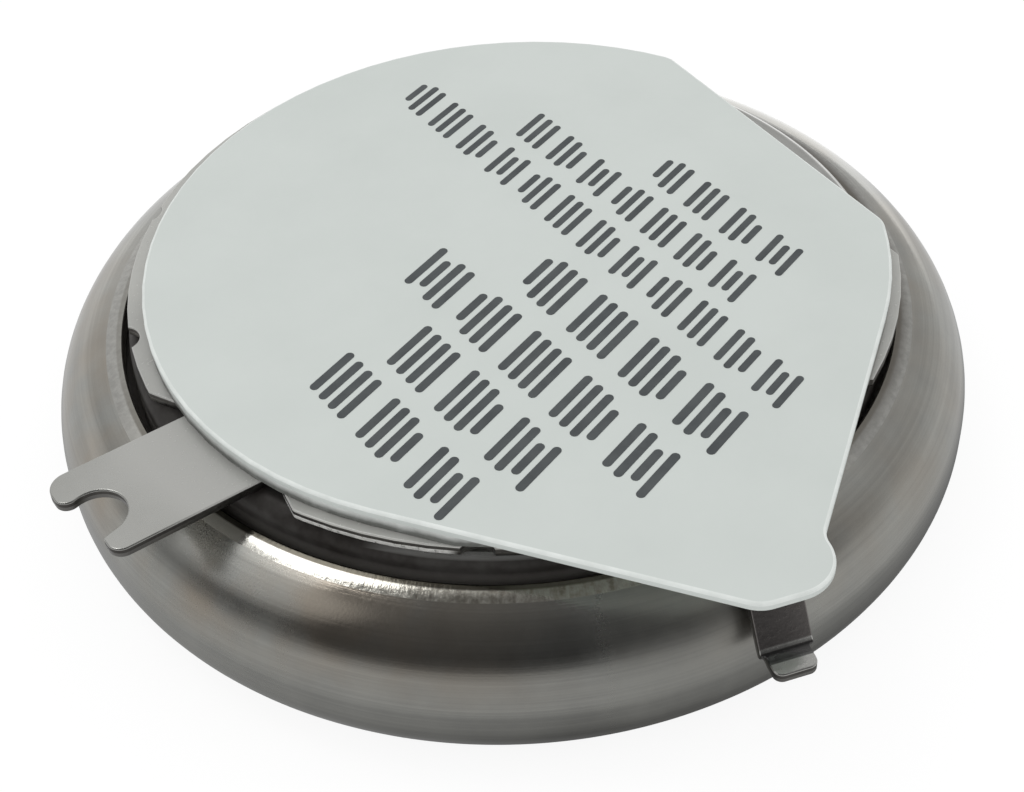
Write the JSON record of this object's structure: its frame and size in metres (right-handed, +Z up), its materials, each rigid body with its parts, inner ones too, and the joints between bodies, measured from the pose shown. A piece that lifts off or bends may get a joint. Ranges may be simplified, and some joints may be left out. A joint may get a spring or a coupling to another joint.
{
  "type": "watch capacitor cell",
  "caption": "Small round crimped coin cell with a welded lead plate, a forked solder tab, a bent contact leg and an insulating label.",
  "frame": {"origin": "centre of the can's flat bottom, the positive face", "axes": "+Z up through the cell to the label, -X along the forked solder tab, +X to the label's straight edge"},
  "size_m": [0.0098, 0.01, 0.0023],
  "materials": {
    "can_steel": "satin",
    "gasket_plastic": "matte",
    "cap_steel": "satin",
    "collector_carbon": "matte",
    "positive_powder": "matte",
    "separator_paper": "matte",
    "negative_powder": "matte",
    "lead_steel": "satin",
    "label_glue": "matte",
    "label_film": "satin"
  },
  "bodies": {
    "root": {"can": "can_steel", "gasket": "gasket_plastic", "cap": "cap_steel", "positive_collector": "collector_carbon", "positive_pellet": "positive_powder", "separator": "separator_paper", "negative_pellet": "negative_powder", "negative_collector": "collector_carbon", "lead_plate": "lead_steel", "label_adhesive": "label_glue", "label": "label_film"}
  },
  "joints": []
}
